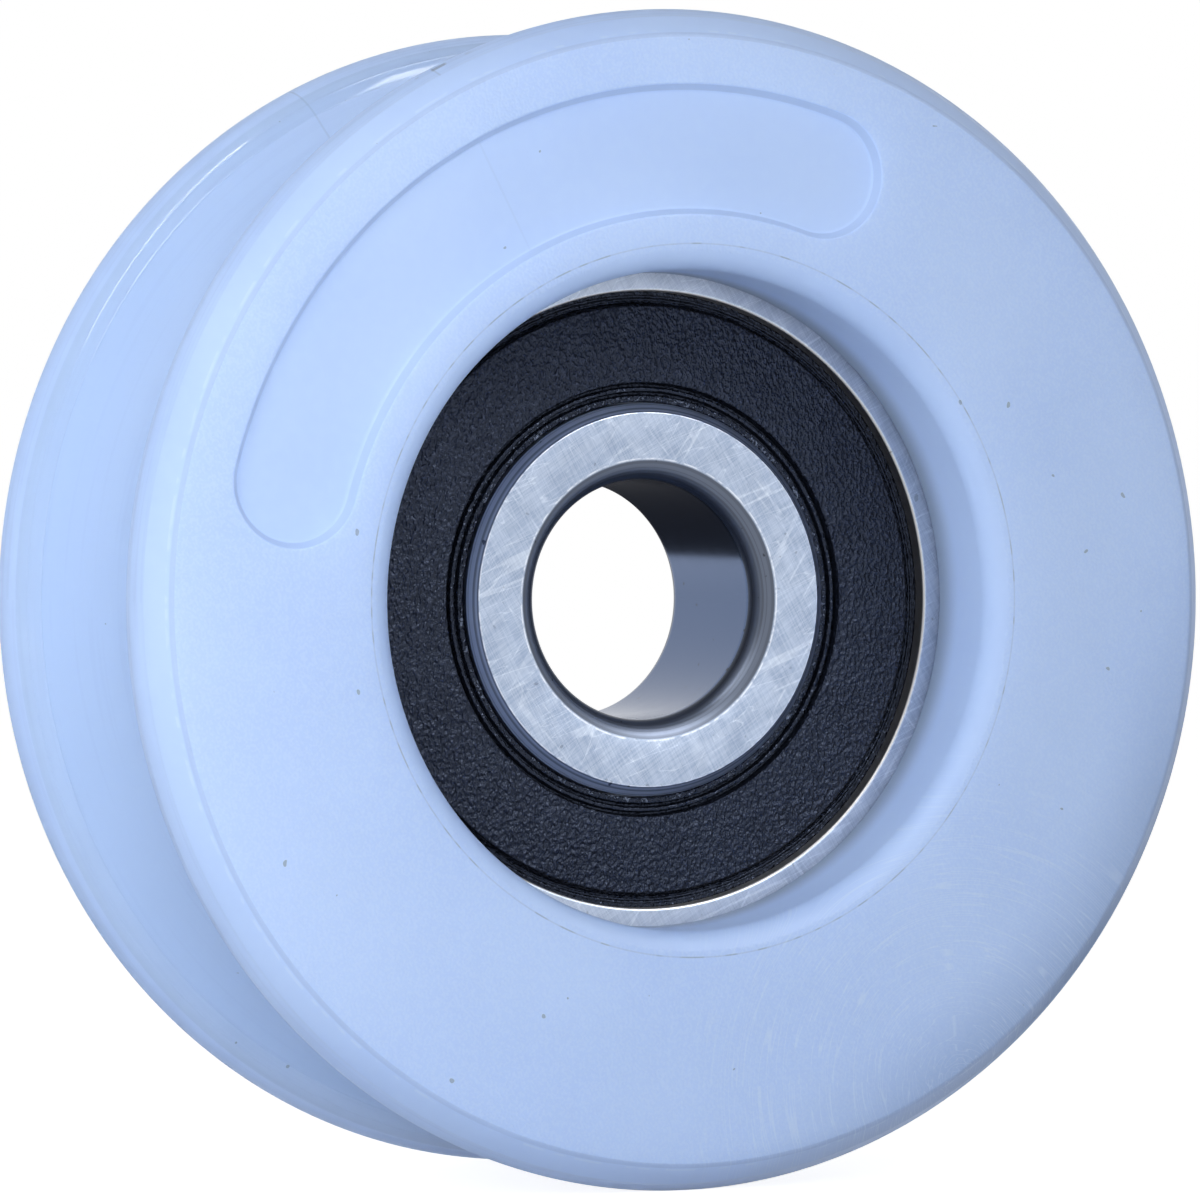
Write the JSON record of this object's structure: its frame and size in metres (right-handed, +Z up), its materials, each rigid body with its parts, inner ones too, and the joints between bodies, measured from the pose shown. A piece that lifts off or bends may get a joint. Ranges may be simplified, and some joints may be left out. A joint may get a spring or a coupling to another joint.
{
  "type": "round groove wheel",
  "caption": "Nylon track wheel with a half-round rim groove for a round rail, moulded round a sealed ball bearing with a plain axle bore.",
  "frame": {"origin": "the wheel's centre, on the axle line in the middle plane of the groove", "axes": "+Y along the axle towards the rear face, -Y out of the front face with the label pocket, +Z up"},
  "size_m": [0.0486, 0.0186, 0.0486],
  "materials": {
    "nylon": "moulded satin",
    "ring_steel": "ground",
    "ball_steel": "polished",
    "cage_steel": "pressed",
    "seal_rubber": "fine grain"
  },
  "bodies": {
    "axle_ring": {"inner_ring": "ring_steel"},
    "wheel": {"wheel_body": "nylon", "outer_ring": "ring_steel", "front_seal": "seal_rubber", "rear_seal": "seal_rubber"},
    "cage": {"cage_front_half": "cage_steel", "cage_rear_half": "cage_steel", "cage_rivets": "cage_steel"},
    "ball_1": {"ball_1": "ball_steel"},
    "ball_2": {"ball_2": "ball_steel"},
    "ball_3": {"ball_3": "ball_steel"},
    "ball_4": {"ball_4": "ball_steel"},
    "ball_5": {"ball_5": "ball_steel"},
    "ball_6": {"ball_6": "ball_steel"},
    "ball_7": {"ball_7": "ball_steel"},
    "ball_8": {"ball_8": "ball_steel"}
  },
  "joints": [
    {"name": "wheel_spin", "type": "hinge", "parent": "axle_ring", "child": "wheel", "pos_m": [0, 0, 0], "axis": [0, 1, 0], "continuous": true},
    {"name": "cage_spin", "type": "hinge", "parent": "axle_ring", "child": "cage", "pos_m": [0, 0, 0], "axis": [0, 1, 0], "continuous": true},
    {"name": "ball_1_spin", "type": "hinge", "parent": "cage", "child": "ball_1", "pos_m": [0.01, 0, 0], "axis": [0, 1, 0], "continuous": true},
    {"name": "ball_2_spin", "type": "hinge", "parent": "cage", "child": "ball_2", "pos_m": [0.00707, 0, 0.00707], "axis": [0, 1, 0], "continuous": true},
    {"name": "ball_3_spin", "type": "hinge", "parent": "cage", "child": "ball_3", "pos_m": [0, 0, 0.01], "axis": [0, 1, 0], "continuous": true},
    {"name": "ball_4_spin", "type": "hinge", "parent": "cage", "child": "ball_4", "pos_m": [-0.00707, 0, 0.00707], "axis": [0, 1, 0], "continuous": true},
    {"name": "ball_5_spin", "type": "hinge", "parent": "cage", "child": "ball_5", "pos_m": [-0.01, 0, 0], "axis": [0, 1, 0], "continuous": true},
    {"name": "ball_6_spin", "type": "hinge", "parent": "cage", "child": "ball_6", "pos_m": [-0.00707, 0, -0.00707], "axis": [0, 1, 0], "continuous": true},
    {"name": "ball_7_spin", "type": "hinge", "parent": "cage", "child": "ball_7", "pos_m": [0, 0, -0.01], "axis": [0, 1, 0], "continuous": true},
    {"name": "ball_8_spin", "type": "hinge", "parent": "cage", "child": "ball_8", "pos_m": [0.00707, 0, -0.00707], "axis": [0, 1, 0], "continuous": true}
  ],
  "couplings": [
    {"joint": "cage_spin", "follows": "wheel_spin", "ratio": 0.61905},
    {"joint": "ball_1_spin", "follows": "wheel_spin", "ratio": 1.9809},
    {"joint": "ball_2_spin", "follows": "wheel_spin", "ratio": 1.9809},
    {"joint": "ball_3_spin", "follows": "wheel_spin", "ratio": 1.9809},
    {"joint": "ball_4_spin", "follows": "wheel_spin", "ratio": 1.9809},
    {"joint": "ball_5_spin", "follows": "wheel_spin", "ratio": 1.9809},
    {"joint": "ball_6_spin", "follows": "wheel_spin", "ratio": 1.9809},
    {"joint": "ball_7_spin", "follows": "wheel_spin", "ratio": 1.9809},
    {"joint": "ball_8_spin", "follows": "wheel_spin", "ratio": 1.9809}
  ]
}
